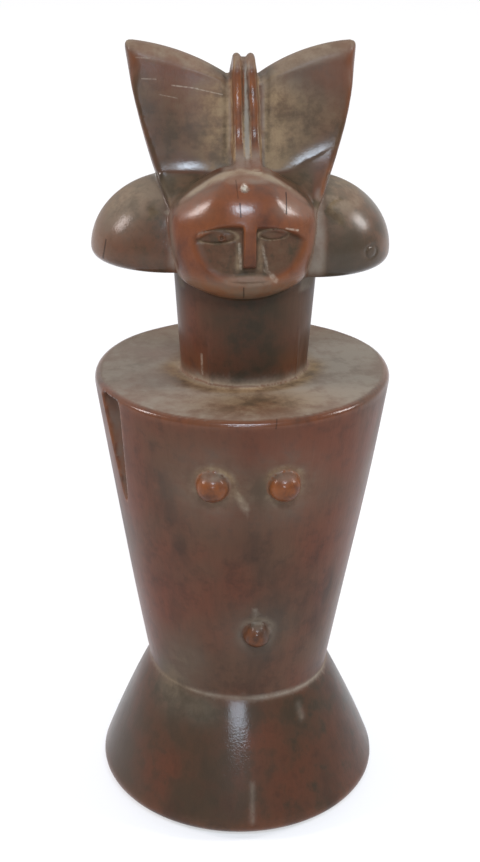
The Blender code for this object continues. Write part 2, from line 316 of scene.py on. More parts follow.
def torso_reach(z):
    share = (z - WAIST_HEIGHT) / (SHOULDER_HEIGHT - WAIST_HEIGHT)
    return WAIST_RADIUS + share * (SHOULDER_RADIUS - WAIST_RADIUS) + 4 * TORSO_BULGE * share * (1 - share)


def boss_places():
    """Middle and radius of each breast and of the navel."""
    for x, z, radius in ((-BREAST_X, BREAST_HEIGHT, BREAST_RADIUS), (BREAST_X, BREAST_HEIGHT, BREAST_RADIUS),
                         (NAVEL_X, NAVEL_HEIGHT, NAVEL_RADIUS)):
        yield x, BOSS_SUNK - math.sqrt(torso_reach(z) ** 2 - x * x), z, radius


def torso_distance(x, y, z):
    """The turned torso, dished a little around each boss, with a slightly tilted and wavy shoulder."""
    rho = np.sqrt(x * x + y * y) + TINY
    torso = (rho - torso_reach(z) - swell(x, y, z)) * TORSO_TRUE
    for bx, _, bz, radius in boss_places():
        apart = np.sqrt((x - bx) ** 2 + (z - bz) ** 2)
        torso = torso + BOSS_DISH * step(-y, 6.0) * near(apart, radius, 1.9)
    plane = z - SHOULDER_HEIGHT - SHOULDER_TILT[0] * x - SHOULDER_TILT[1] * y
    plane = plane + SHOULDER_WAVE * np.sin(x / 5.0 + 1.0) * np.cos(y / 6.0)
    torso = smooth_max(torso, plane, SHOULDER_ROUND)
    return np.maximum(torso, WAIST_HEIGHT - TORSO_TENON - z)


def foot_distance(x, y, z):
    """The flared foot, undercut below its widest edge, on a flat sole."""
    foot_slope = (FOOT_RADIUS - WAIST_RADIUS) / (WAIST_HEIGHT - FOOT_EDGE_HEIGHT)
    rho = np.sqrt((x - FOOT_X * step(WAIST_HEIGHT - z, 20.0)) ** 2 + y * y)
    down = np.clip((WAIST_HEIGHT - z) / (WAIST_HEIGHT - FOOT_EDGE_HEIGHT), 0.0, 1.0)
    reach = WAIST_RADIUS + (WAIST_HEIGHT + WAIST_TILT * x * (1 - down) - z) * foot_slope
    reach = reach + 4 * FOOT_BULGE * down * (1 - down)
    foot = (rho - reach - 0.5 * swell(x, y, 1.7 * z)) * FOOT_TRUE
    foot = smooth_max(foot, (rho - SOLE_RADIUS - SOLE_FLARE * z) * SOLE_TRUE, SOLE_EDGE_ROUND)
    return smooth_max(foot, -z, SOLE_ROUND)


def knob_distance(x, y, z, bx, by, bz, radius):
    """One boss: a ball, and for the navel one with a flat cut on each side."""
    knob = np.sqrt((x - bx) ** 2 + (y - by) ** 2 + (z - bz) ** 2) - radius
    if radius == NAVEL_RADIUS:
        for across, rising, inward, reach in NAVEL_CUTS:
            cut = ((x - bx) * across + (z - bz) * rising - (y - by) * inward) - radius * reach
            knob = smooth_max(knob, cut, BOSS_FILLET)
    return knob


def notch_distance(x, y, z):
    """The scooped notch down the figure's right side: wide and deep at the top, a point at the bottom."""
    across = x * math.cos(NOTCH_TURN) - y * math.sin(NOTCH_TURN)
    out = -x * math.sin(NOTCH_TURN) - y * math.cos(NOTCH_TURN)
    share = np.clip((z - NOTCH_BOTTOM) / (NOTCH_TOP - NOTCH_BOTTOM), 0.0, 1.0)
    half = NOTCH_POINT + (NOTCH_HALF_WIDTH - NOTCH_POINT) * share**0.8
    flat = NOTCH_HALF_WIDTH / NOTCH_DEPTH
    scoop = np.sqrt(across**2 + ((out - torso_reach(z)) * flat) ** 2) - half
    return smooth_max(smooth_max(scoop, (z - NOTCH_TOP) * NOTCH_TOP_TRUE, 1.6), NOTCH_BOTTOM - z, 0.8)


def neck_distance(x, y, z):
    """The round neck, with two long shallow knife cuts up from its foot."""
    reach = NECK_FOOT_RADIUS + (z - SHOULDER_HEIGHT) * (NECK_TOP_RADIUS - NECK_FOOT_RADIUS) / NECK_LENGTH
    neck = np.hypot(x - NECK_X, y) - reach
    turn = np.arctan2(x, -y)
    depth = NECK_CUT_DEPTH * step(107.5 - z, 9.0)
    for ridge, side in NECK_CUTS:
        off = (turn - ridge) * NECK_FOOT_RADIUS * side
        neck = neck - depth * near(off, 0.0, 0.45) + depth * near(off, 2.6, 1.7)
    bottom, top = NECK_ENDS
    return np.maximum(np.maximum(neck, z - top), bottom - z)


def body_distance(x, y, z):
    body = smooth_min(torso_distance(x, y, z), foot_distance(x, y, z), WAIST_FILLET)
    for boss in boss_places():
        body = smooth_min(body, knob_distance(x, y, z, *boss), BOSS_FILLET)
    body = smooth_max(body, -notch_distance(x, y, z), NOTCH_ROUND)
    return smooth_min(body, neck_distance(x, y, z), NECK_FILLET)


# -------- head

def curve(*parts, given):
    """A reader for a curve made of several runs of points, where a lone point may be one of them."""
    return reader(np.vstack([np.atleast_2d(part) for part in parts]), given)


# Read by height, apart from the ones that are read by x (brow line, hair top) or by y (crest crown).
FOREHEAD = arc((18.0, 137.3), (24.4, 132.6), (26.3, 127.8))
CHEEK = arc((26.3, 127.8), (26.1, 121.6), (24.4, 115.4))
FACE_REACH = curve((2.0, 139.5), FOREHEAD, CHEEK[1:], (22.6, 112.8), given=1)
CHEEK_HALF = curve((15.4, 136.0), arc((14.5, 131.0), (13.4, 123.0), (12.5, 117.0)), (11.9, 113.0), given=1)
BROW_LINE = curve((-14.0, 121.0), arc((-10.4, 125.6), (-6.5, 128.5), (-1.0, 129.1)),
                  arc((1.0, 129.0), (6.5, 128.1), (11.4, 125.0)), (14.0, 121.0), given=0)
HOLLOW_RIGHT = curve(arc((-11.2, 128.0), (-9.9, 122.2), (-5.8, 117.0)), given=1)
HOLLOW_LEFT = curve(arc((11.6, 128.0), (10.2, 122.0), (5.8, 117.0)), given=1)

HAIR_RIGHT = curve((-13.4, 112.0), arc((-14.7, 127.5), (-19.8, 143.8), (-22.7, 158.4)), given=1)
HAIR_LEFT = curve((12.2, 112.0), arc((13.8, 127.5), (18.85, 143.0), (21.15, 158.4)), given=1)
HAIR_TOP = curve(arc((-22.8, 158.6), (-12.4, 156.45), (-3.4, 152.05)),
                 arc((2.7, 152.05), (10.6, 156.5), (21.2, 158.8)), given=0)
HAIR_BACK = curve(arc((5.2, 162.0), (11.0, 146.0), (17.0, 126.0)), given=1)

CREST_RIGHT = curve((-1.66, 153.0), (-1.36, 140.0), given=1)
CREST_LEFT = curve((0.98, 153.0), (1.40, 148.0), (1.60, 140.0), given=1)
CREST_FRONT = curve(smooth_curve([(-12.2, 137.2), (-7.9, 139.2), (-5.2, 142.2), (-3.5, 147.0),
                                  (-2.5, 152.5), (-2.3, 157.0)]), given=1)
CREST_CROWN = curve(arc((-4.0, 153.6), (1.4, 156.3), (9.5, 153.2)), given=0)
CREST_BACK = curve(arc((5.0, 156.5), (14.8, 141.0), (17.8, 122.0)), given=1)


def gable_height(x):
    """Height of the top edge of the face."""
    fall = (x - HEAD_X) / math.tan(GABLE_SLOPE)
    return smooth_min(GABLE_PEAK - fall, GABLE_PEAK + fall, GABLE_ROUND)


def face_front(x, z):
    """Depth of the face's front, and how steep it is there: flat in the middle, bent back at the sides."""
    off = np.abs(x - HEAD_X)
    bend = 0.40 + 0.14 * np.clip((z - 122.0) / 9.0, 0.0, 1.0)
    soft = (off - FACE_BEND_X) / FACE_BEND_WIDTH
    bent = bend * FACE_BEND_WIDTH * np.log1p(np.exp(soft))
    depth = FACE_AXIS_Y - FACE_REACH(z) + off * off / FACE_FLAT + bent
    across = 2 * off / FACE_FLAT + bend / (1 + np.exp(-soft))
    upward = (FACE_REACH(z + 0.3) - FACE_REACH(z - 0.3)) / 0.6
    return depth, np.sqrt(1 + across * across + upward * upward)


def almond(x, z, middle, half, tilt):
    """1 in the middle of an eye, 0 on its lid line, negative outside."""
    u = (x - middle[0]) / half[0]
    v = (z - middle[1] - tilt * (x - middle[0]) + 0.2 * half[1] * u * u) / half[1]
    return 1 - u * u - v * v


def face_relief(x, z):
    """How far the face stands out from its plain front, which the sunk cheeks lie below."""
    brow = step(BROW_LINE(x) - z, 1.7)
    sides = step(x - HOLLOW_RIGHT(z) + 0.3, 3.6) * step(HOLLOW_LEFT(z) + 0.3 - x, 3.6)
    chin = step(z - 117.0 - 0.05 * np.abs(x) ** 1.5, 2.6)
    depth = 1.0 + 0.45 * step(z - 118.0, 8.0)
    relief = -depth * brow * sides * chin
    nose_side = step(NOSE_HALF_WIDTH - np.abs(x - NOSE_X), 0.45)
    nose = nose_side * step(z - 120.4, 1.0) * step(131.5 - z, 1.0)
    beside = near(np.abs(x), 2.3, 0.9) * step(z - 119.5, 2.0) * step(127.5 - z, 2.0)
    relief = relief - 0.35 * beside
    bridge = 0.05 + 0.5 * step(127.5 - z, 7.0)
    relief = relief * (1 - nose) + bridge * nose * step(130.0 - z, 4.0)
    for eye, lift in zip(EYES, EYE_LIFTS):
        inside = almond(x, z, *eye)
        relief = relief + lift * step(inside, 0.8) - 0.2 * near(inside, 0.0, 0.25)
    pupil = np.hypot(x - PUPIL[0], z - PUPIL[1])
    relief = relief + 0.25 * near(pupil, 0.52, 0.22) - 0.2 * near(pupil, 0.0, 0.28)
    return relief + LIPS_LIFT * step(almond(x, z, *LIPS), 1.0)


def face_distance(x, y, z):
    depth, slope = face_front(x, z)
    front = (depth - y - face_relief(x, z)) / slope
    side = (np.abs(x - HEAD_X) - CHEEK_HALF(z)) * CHEEK_TRUE
    chin = CHIN_HEIGHT + CHIN_BEND * (x - HEAD_X) ** 2 - z
    below = smooth_max(side, chin * CHIN_TRUE, 1.8)
    mask = smooth_max(front, below, 2.2 + 2.2 * step(124.0 - z, 7.0))
    above = (z - gable_height(x)) * math.sin(GABLE_SLOPE)
    mask = smooth_max(mask, above, 1.6 + 3.4 * step(np.abs(x - HEAD_X) - 2.0, 6.0))
    mask = smooth_max(mask, y - FACE_BACK_Y, 0.8)
    pit = np.sqrt((x - PIT[0]) ** 2 + (y - PIT[1]) ** 2 + (z - PIT[2]) ** 2) - PIT_RADIUS
    return smooth_max(mask, -pit, 0.15)


def rise(x):
    """How far the figure's left valley has risen: nothing up to mid-wing, then a straight slope."""
    return VALLEY_TURN_WIDTH * np.log1p(np.exp((x - VALLEY_TURN_X) / VALLEY_TURN_WIDTH))


def valley(x):
    """Height of the line where each wing's front turns into its floor. It rises on the figure's left."""
    return VALLEY_HEIGHT + VALLEY_RISE * rise(x) - 0.01 * np.minimum(x, 0.0)


def valley_depth(x):
    return VALLEY_Y + VALLEY_RETREAT * rise(x)


def rim_depth(x):
    """Depth at which each wing's floor ends in front."""
    return RIM_Y + RIM_BEND * (x - HEAD_X) ** 2


def floor_height(x, y):
    """Height of the sloping floor between each wing's front and the top edge of the face."""
    low, crease_y = valley(x), valley_depth(x)
    share = np.clip((crease_y - y) / np.maximum(crease_y - rim_depth(x), 1.5), 0.0, 1.0)
    return low - share * (low - gable_height(x) + 1.3)


def hair_distance(x, y, z):
    """The block behind the face and the two wings that it spreads into, hollowed in front."""
    lean = 0.14 * np.maximum(-0.5 - y, 0.0)
    right = (HAIR_RIGHT(z) + lean - x) * HAIR_SIDE_TRUE
    left = (x - HAIR_LEFT(z) + lean) * HAIR_SIDE_TRUE
    sides = np.maximum(right, left)
    plan = np.sqrt(((x - HEAD_X) / BLOCK_HALF_WIDTH) ** 2 + (y / BLOCK_HALF_DEPTH) ** 2) - 1
    top = (z - HAIR_TOP(x)) * HAIR_TOP_TRUE
    outer = smooth_max(smooth_max(sides, top, 1.4), plan * BLOCK_HALF_DEPTH, 2.0)
    outer = smooth_max(outer, (y - HAIR_BACK(z)) * HAIR_BACK_TRUE, 2.4)
    outer = smooth_max(outer, HAIR_FOOT - z, 1.5)
    low = valley(x)
    tall = CURL_HEIGHT + 1.6 * step(x - LEFT_WING_X, 6.0)
    beneath = np.maximum(low + tall - z, 0.0)
    dish = 0.6 * near(np.abs(x - MIDDLE_X), 10.0, 6.0) * step(z - 134.0, 10.0)
    curl = HOLLOW_CURVE * CURL_HEIGHT / tall * (CURL_HEIGHT**2 - beneath**2)
    front_y = VALLEY_Y + 0.15 * rise(x) + (z - VALLEY_HEIGHT) * math.tan(HOLLOW_LEAN) + curl + dish
    wall = (front_y - y) * WALL_TRUE
    floor = (z - floor_height(x, y)) * FLOOR_TRUE
    hollow = smooth_min(wall, floor, 0.8 + 0.8 * step(x - LEFT_WING_X, 5.0))
    outer = smooth_max(outer, rim_depth(x) - 0.4 - y, 0.4)
    return smooth_max(outer, hollow, 0.8 + 0.6 * step(145.0 - z, 8.0) + 2.2 * step(z - 149.0, 6.0))


def lobe_distance(x, y, z):
    """Two domes beside the head, flat below, with the ring of a knot on the figure's left one."""
    both = None
    for (mx, my, mz), under in zip(LOBE_MIDDLES, LOBE_UNDERSIDES):
        a, b, c = (x - mx) / LOBE_HALF[0], (y - my) / LOBE_HALF[1], (z - mz) / LOBE_HALF[2]
        size = np.sqrt(a * a + b * b + c * c) + TINY
        slope = np.sqrt((a / LOBE_HALF[0]) ** 2 + (b / LOBE_HALF[1]) ** 2 + (c / LOBE_HALF[2]) ** 2) + TINY
        dome = size * (size - 1) / slope
        sag = 0.012 * (np.abs(x - mx) - 6.0) ** 2 * 0.25
        lobe = smooth_max(dome, under + sag - z, LOBE_EDGE_ROUND)
        knot = np.hypot(x - KNOT[0], z - KNOT[1])
        lobe = lobe + KNOT_DEPTH * near(knot, KNOT[2], 0.32) * step(-y, 2.0)
        both = lobe if both is None else np.minimum(both, lobe)
    return both


def crest_distance(x, y, z):
    """Two thin upright crests, joined by a filler that lies a little below their outline."""
    front = (CREST_FRONT(z) - y) * CREST_FRONT_TRUE
    crown = (z - CREST_CROWN(y)) * CREST_TOP_TRUE
    back = (y - CREST_BACK(z)) * CREST_BACK_TRUE
    side_view = smooth_max(smooth_max(front, crown, 1.6), back, 3.0)
    side_view = smooth_max(side_view, CREST_FOOT - z, 1.0)
    half = CREST_HALF_WIDTH - 0.2 * step(z - 151.0, 5.0)
    crests = None
    for middle in (CREST_RIGHT(z), CREST_LEFT(z)):
        flank = (np.abs(x - middle) - half + 0.16 * np.maximum(side_view, -2.5)) * CREST_SIDE_TRUE
        crest = smooth_max(side_view, flank, 0.7)
        crests = crest if crests is None else np.minimum(crests, crest)
    between = smooth_max(side_view + CREST_GAP_DEPTH, np.abs(x - CREST_GAP_X) - CREST_GAP_HALF, 0.3)
    return smooth_min(crests, between, 0.3)


def head_distance(x, y, z):
    hair = hair_distance(x, y, z)
    groove = near(np.abs(x - GROOVE_X), GROOVE_OFF, 0.55) * step(z - 137.0, 3.0)
    hair = hair + GROOVE_DEPTH * groove * step(6.0 - y, 3.0)
    hair = smooth_min(hair, crest_distance(x, y, z), CREST_FILLET)
    hair = smooth_min(hair, lobe_distance(x, y, z), LOBE_FILLET)
    return smooth_min(hair, face_distance(x, y, z), FACE_FILLET)


def figure_distance(x, y, z):
    """Body and head. The head is left out below its foot, and stands alone high up."""
    body = body_distance(x, y, z)
    if np.max(z) < HEAD_FOOT:
        return body
    head = head_distance(x, y, z)
    if np.min(z) > HEAD_ALONE:
        return head
    return smooth_min(body, head, HEAD_FILLET)


# -------- mesh

def graded(low, high, fine_low, fine_high):
    """Grid lines from low to high, close together between fine_low and fine_high."""
    parts = [np.arange(fine_low, low - COARSE, -COARSE)[:0:-1], np.arange(fine_low, fine_high, FINE),
             np.arange(fine_high, high + COARSE, COARSE)]
    return np.concatenate(parts)


def sample(xs, ys, zs):
    """The figure's distance at every grid point, worked out in layers."""
    field = np.empty((len(xs), len(ys), len(zs)), np.float32)
    for first in range(0, len(zs), LAYERS):
        layer = zs[None, None, first:first + LAYERS]
        field[:, :, first:first + LAYERS] = figure_distance(xs[:, None, None], ys[None, :, None], layer)
    return field


def surface_net(field, xs, ys, zs):
    """One vertex in each grid cell that the surface crosses, and one quad across each crossed grid edge."""
    lines = (xs, ys, zs)
    shape = np.array(field.shape) - 1
    strides = np.array([shape[1] * shape[2], shape[2], 1])
    cells, points, quads = [], [], []
    for axis in range(3):
        ahead = [slice(None)] * 3
        behind = [slice(None)] * 3
        ahead[axis] = slice(1, None)
        behind[axis] = slice(None, -1)
        a, b = field[tuple(behind)], field[tuple(ahead)]
        index = np.argwhere((a < 0) != (b < 0))
        va = a[tuple(index.T)].astype(float)
        vb = b[tuple(index.T)].astype(float)
        place = np.stack([lines[n][index[:, n]] for n in range(3)], 1)
        far = lines[axis][index[:, axis] + 1]
        place[:, axis] += (far - place[:, axis]) * va / (va - vb)
        one, two = strides[(axis + 1) % 3], strides[(axis + 2) % 3]
        corner = index @ strides
        around = np.stack([corner - one - two, corner - two, corner, corner - one], 1)
        cells.append(around.ravel())
        points.append(np.repeat(place, 4, axis=0))
        quads.append(np.where((va < 0)[:, None], around, around[:, ::-1]))
    keys, inverse = np.unique(np.concatenate(cells), return_inverse=True)
    points = np.concatenate(points)
    count = np.bincount(inverse)
    verts = np.stack([np.bincount(inverse, points[:, n]) / count for n in range(3)], 1)
    faces = np.searchsorted(keys, np.concatenate(quads))
    return verts, faces


def slope_of(p, reach=0.05):
    """Gradient of the figure's distance at rows of points."""
    gradient = np.empty_like(p)
    for axis in range(3):
        off = np.zeros(3)
        off[axis] = reach
        ahead = figure_distance(*(p + off).T)
        behind = figure_distance(*(p - off).T)
        gradient[:, axis] = (ahead - behind) / (2 * reach)
    return gradient


def onto_surface(p, rounds, most=0.25):
    """Moves points onto the exact form by Newton steps of at most `most` mm."""
    for _ in range(rounds):
        gradient = slope_of(p)
        size2 = np.maximum((gradient**2).sum(1), 0.05)
        move = gradient * (figure_distance(*p.T) / size2)[:, None]
        length = np.linalg.norm(move, axis=1, keepdims=True)
        p = p - move * np.minimum(1.0, most / np.maximum(length, 1e-9))
    return p


def mesh_from(name, verts, faces):
    mesh = bpy.data.meshes.new(name)
    mesh.vertices.add(len(verts))
    mesh.vertices.foreach_set("co", np.ascontiguousarray(verts * MM, np.float32).ravel())
    mesh.loops.add(faces.size)
    mesh.loops.foreach_set("vertex_index", faces.astype(np.int32).ravel())
    mesh.polygons.add(len(faces))
    mesh.polygons.foreach_set("loop_start", np.arange(0, faces.size, faces.shape[1], dtype=np.int32))
    mesh.update(calc_edges=True)
    mesh.validate()
    return mesh


def close_folds(mesh):
    """Draws together each tiny fold, where an edge has more than two faces."""
    work = bmesh.new()
    work.from_mesh(mesh)
    bmesh.ops.collapse(work, edges=[edge for edge in work.edges if len(edge.link_faces) > 2])
    work.to_mesh(mesh)
    work.free()


def thinned(figure, share):
    """The figure's mesh with about that share of its triangles."""
    thin = figure.modifiers.new("Fewer", "DECIMATE")
    thin.ratio = share
    thin.use_collapse_triangulate = True
    bpy.context.view_layer.update()
    seen = figure.evaluated_get(bpy.context.evaluated_depsgraph_get())
    mesh = bpy.data.meshes.new_from_object(seen)
    figure.modifiers.clear()
    return mesh


def carved_figure():
    """The finished piece, with the place in mm and the exact normal of each of its vertices."""
    xs, ys, zs = graded(*GRID_X), graded(*GRID_Y), graded(*GRID_Z)
    verts, faces = surface_net(sample(xs, ys, zs), xs, ys, zs)
    verts = onto_surface(verts, 2)
    uneven = verts + np.random.default_rng(SEED).normal(0.0, UNEVEN, verts.shape)
    figure = bpy.data.objects.new("carved_figure", mesh_from("carved_figure", uneven, faces))
    bpy.context.scene.collection.objects.link(figure)
    figure.data = mesh = thinned(figure, TRIANGLES / (2 * len(faces)))
    close_folds(mesh)
    place = np.empty(len(mesh.vertices) * 3, np.float32)
    mesh.vertices.foreach_get("co", place)
    place = onto_surface(place.reshape(-1, 3).astype(float) / MM, 1, 0.08)
    mesh.vertices.foreach_set("co", np.ascontiguousarray(place * MM, np.float32).ravel())
    normal = slope_of(place)
    normal /= np.linalg.norm(normal, axis=1, keepdims=True)
    mesh.polygons.foreach_set("use_smooth", np.ones(len(mesh.polygons), bool))
    mesh.normals_split_custom_set_from_vertices(normal.astype(np.float32))
    mesh.update()
    return figure, place, normal


# -------- where dust lies, where hands have polished, and where light and shade are painted

def bump_at(p, middle, size):
    """A soft spot: 1 at its middle, fading over `size` mm along each axis."""
    off = (p - np.array(middle)) / np.array(size)
    return np.exp(-(off**2).sum(1))


def along_lines(x, z, marks):
    """The strongest of several soft lines seen from the front."""
    most = np.zeros(len(x))
    for ax, az, bx, bz, width, strength in marks:
        length2 = (bx - ax) ** 2 + (bz - az) ** 2
        share = np.clip(((x - ax) * (bx - ax) + (z - az) * (bz - az)) / length2, 0.0, 1.0)
        off = np.hypot(x - ax - share * (bx - ax), z - az - share * (bz - az))
        most = np.maximum(most, strength * near(off, 0.0, width))
    return most


def openness(p, normal):
    """0 deep in a corner, 1 on an open surface."""
    total = np.zeros(len(p))
    for reach, part in ((0.5, 0.35), (1.2, 0.3), (2.6, 0.2), (5.5, 0.15)):
        total += part * np.clip(figure_distance(*(p + normal * reach).T) / reach, 0.0, 1.0)
    return total


def edge_wear(p, normal, depth=1.1):
    """1 on a sharp outer edge, 0 on a flat or hollow surface."""
    inner = -figure_distance(*(p - normal * depth).T) / depth
    return np.clip((0.97 - inner) / 0.45, 0.0, 1.0)


def look_at(p, normal):
    """What every mask starts from. The mask functions below add their masks to it."""
    x, y, z = p.T
    at = SimpleNamespace(p=p, x=x, y=y, z=z, up=normal[:, 2], ahead=-normal[:, 1], aside=np.abs(normal[:, 0]))
    at.rho = np.hypot(x, y)
    at.off = np.abs(x - MIDDLE_X)
    at.closed = 1 - openness(p, normal)
    at.in_front = step(0.5 - y, 2.0)
    at.shoulder = step(at.up - 0.85, 0.12) * within(z, 93.0, 98.0, 1.0)
    at.rim = step(edge_wear(p, normal) - 0.3, 0.4) * (1 - step(z - 135.0, 6.0) * step(at.up - 0.1, 0.3))
    at.rim = at.rim * (1 - at.shoulder * step(28.8 - at.rho, 0.6))
    return at


def mask_bosses(at):
    """The bosses, their clean lower parts, and the dust around and on top of them."""
    at.halo, at.knobs, at.knob_low = np.zeros((3, len(at.p)))
    for bx, by, bz, radius in boss_places():
        apart = np.hypot(at.x - bx, at.z - bz)
        ring = near(apart, radius + 0.5, 0.9) * (0.3 + 0.7 * step(at.z - bz, radius))
        ring = ring + 0.45 * near(apart, 0.0, 2.3 * radius)
        off = np.sqrt((at.x - bx) ** 2 + (at.y - by) ** 2 + (at.z - bz) ** 2)
        knob = step(radius + 0.7 - off, 0.7) * step(-at.y - 15.0, 2.0)
        crown = step(at.z - bz - 1.0, 1.6) * step(at.up - 0.4, 0.4)
        strength = 1.0 if radius == BREAST_RADIUS else 0.5
        halo = (ring * (1 - knob) + 0.5 * crown * knob) * step(-at.y, 4.0) * strength
        at.halo = np.maximum(at.halo, halo)
        at.knobs = np.maximum(at.knobs, knob)
        at.knob_low = np.maximum(at.knob_low, knob * (1 - crown))


def mask_body(at):
    """Foot, torso and neck."""
    p, x, y, z, rho = at.p, at.x, at.y, at.z, at.rho
    at.neck_foot = near(z, SHOULDER_HEIGHT, 1.3) * step(16.5 - rho, 3.0)
    around = 0.7 * near(rho, 15.0, 1.8) * at.shoulder * step(4.0 - y, 6.0)
    at.neck_front = np.maximum(bump_at(p, (1.5, -20.5, 95.0), (11.0, 6.5, 4.0)) * at.shoulder, around)
    at.neck = step(15.6 - rho, 0.6) * within(z, 95.5, 117.0, 1.0, 2.0)
    at.on_shoulder = within(z, 90.0, 98.0, 2.0, 1.0) * step(rho - 25.0, 1.0)
    at.waist = near(z - WAIST_TILT * x, WAIST_HEIGHT, 0.5)
    at.waist_grime = np.maximum.reduce([
        bump_at(p, (-14.0, -12.0, 29.5), (5.0, 8.0, 6.5)),
        0.7 * bump_at(p, (-9.0, -17.0, 25.5), (4.5, 6.0, 3.0)),
        0.7 * bump_at(p, (-12.0, -15.0, 36.0), (4.5, 8.0, 6.0))])
    off_notch = notch_distance(x, y, z)
    # The notch's inside gets dust and warm wood that lighten it: its own dust, and painted light in a recess
    # the lamps hardly reach.
    at.notch = step(0.9 - off_notch, 1.0) * step(SHOULDER_HEIGHT - 1.5 - z, 1.0)
    at.notch_edge = near(off_notch, 0.1, 0.45) * within(z, 72.0, 92.0, 4.0, 2.0) * step(-y - 12.5, 1.5)
    at.chest = bump_at(p, (0.0, -27.0, 80.0), (12.0, 6.0, 5.0)) * step(z - 60.0, 2.0) * (1 - at.knobs)
    at.smears = along_lines(x, z, SMEARS) * step(-y - 5.0, 2.0)
    at.worn_sole = near(z, 2.2, 2.0) * step(rho - 24.0, 2.0)


def mask_hair(at):
    """Wings, crests and lobes."""
    p, x, y, z, off, low = at.p, at.x, at.y, at.z, at.off, valley(at.x)
    at.wing_front = step(at.ahead - 0.4, 0.4) * step(z - low - 0.2, 1.0) * at.in_front * step(off - 3.0, 0.6)
    ends = step(off - 5.0, 6.0) * (1 - 0.8 * step(off - 11.5 - 2.0 * step(x, 1.0), 3.5))
    at.shine_band = near(z - low, 1.2, 2.4) * at.wing_front * ends
    thick = 0.24 - 0.14 * step(-x - 6.0, 6.0) + 0.6 * near(off, 4.0, 6.5) + 0.2 * step(z - 144.0, 12.0)
    at.wing_dust = at.wing_front * np.clip(thick, 0.0, 1.0) * (1 - 0.9 * at.shine_band)
    at.wing_edge = step(at.up - 0.05, 0.6) * step(z - 146.0, 4.0)
    at.crest_side = step(4.2 - off, 0.6) * step(z - 137.6, 1.0) * step(at.aside - 0.45, 0.3) * at.in_front
    at.crest_groove = step(0.62 - np.abs(x - 0.1), 0.25) * step(z - 138.0, 1.0) * at.in_front
    at.crest_foot = step(5.5 - off, 1.5) * within(z, 135.0, 141.5, 1.0, 3.0) * step(-3.0 - y, 1.0)
    at.gutter = near(off, 3.6, 0.8) * step(z - 138.0, 2.0) * at.in_front * step(at.ahead, 0.2)
    at.floor = step(1.2 - np.abs(z - floor_height(x, y)), 0.7) * step(valley_depth(x) + 0.4 - y, 0.8)
    at.floor = at.floor * step(z - 124.0, 1.0) * step(y + 13.5, 0.5) * step(19.0 - off, 1.0)
    at.lobes = step(np.abs(x) - 14.0, 2.0) * within(z, 114.0, 136.0, 1.0)
    tops = bump_at(p, (-25.5, -4.0, 129.0), (7.0, 9.0, 4.5))
    tops = tops + bump_at(p, (19.0, -4.0, 131.0), (6.0, 9.0, 5.0))
    dust = 0.08 + 0.6 * tops + 0.5 * step(at.up - 0.5, 0.4) + 0.4 * near(at.rho, 30.0, 2.5)
    at.lobe_dust = at.lobes * dust


def mask_face(at):
    """The face, its sunk cheeks and what is cut into them."""
    p, x, y, z, rho, off = at.p, at.x, at.y, at.z, at.rho, at.off
    at.relief = relief = face_relief(x, z)
    below_chin = step(15.2 - rho, 0.6) * step(116.5 - z, 1.0)
    at.face = face = step(-10.5 - y, 2.0) * within(z, HEAD_FOOT, 139.5, 1.0, 1.5) * (1 - below_chin)
    under_gable = gable_height(x) - z
    edge = 1.1 * step(2.0 - under_gable, 1.0)
    slant = (0.1 + 0.15 * step(off - 4.0, 4.0)) * step(5.5 - under_gable, 3.5)
    at.gable = face * step(z - 128.0, 1.5) * step(at.up - 0.2, 0.3) * (edge + slant)
    at.floor = at.floor * (1 - step(at.gable - 0.1, 0.3))
    at.sunk = step(-relief - 0.2, 0.9) * step(-12.0 - y, 2.0) * within(z, 116.0, 130.0, 1.0)
    at.slope = step(-relief - 0.02, 0.25) * face * step(z - 115.5, 1.0)
    at.nose = step(relief - 0.05, 0.3) * face * step(129.0 - z, 2.0)
    at.pit = near(np.linalg.norm(p - np.array(PIT), axis=1), 0.0, 0.75, 4)
    cheek = np.abs(x - HEAD_X) - CHEEK_HALF(z)
    temple = within(y, -12.8, -4.0, 1.5, 1.0) * step(cheek + 1.5, 1.0) * within(z, 113.0, 133.5, 1.0, 2.0)
    cheek_edge = 0.7 * step(cheek + 1.4, 1.2) * face * step(z - 119.0, 3.0)
    at.temple = np.maximum(temple * step(15.6 - off, 2.0), cheek_edge)
    at.jaw = face * at.rim * step(121.0 - z, 2.0)
    # The lower face is painted lighter with pale dust and amber: painted light from below, as well as wear.
    at.jaw_wear = face * step(120.0 - z, 4.0) * (1 - at.sunk)
    # Pale spots where the forehead's two side highlights fall: painted highlight as well as scuffing.
    at.scuffs = np.maximum(bump_at(p, (7.8, -15.5, 131.6), (3.2, 5.0, 1.9)),
                           0.6 * bump_at(p, (-9.4, -14.5, 131.4), (2.6, 5.0, 1.9)))
    lids = np.maximum(*(near(almond(x, z, *eye), 0.0, 0.3) for eye in EYES))
    at.lids = lids * face * step(x + 9.6, 0.8) * step(0.4 - relief, 0.6)
    at.beside_nose = near(np.abs(x - NOSE_X), 2.1, 0.6) * at.sunk * within(z, 119.0, 127.0, 2.0)
    at.mouth = step(almond(x, z, (0.2, 118.2), (6.0, 1.6), 0.0) + 0.2, 1.0) * face


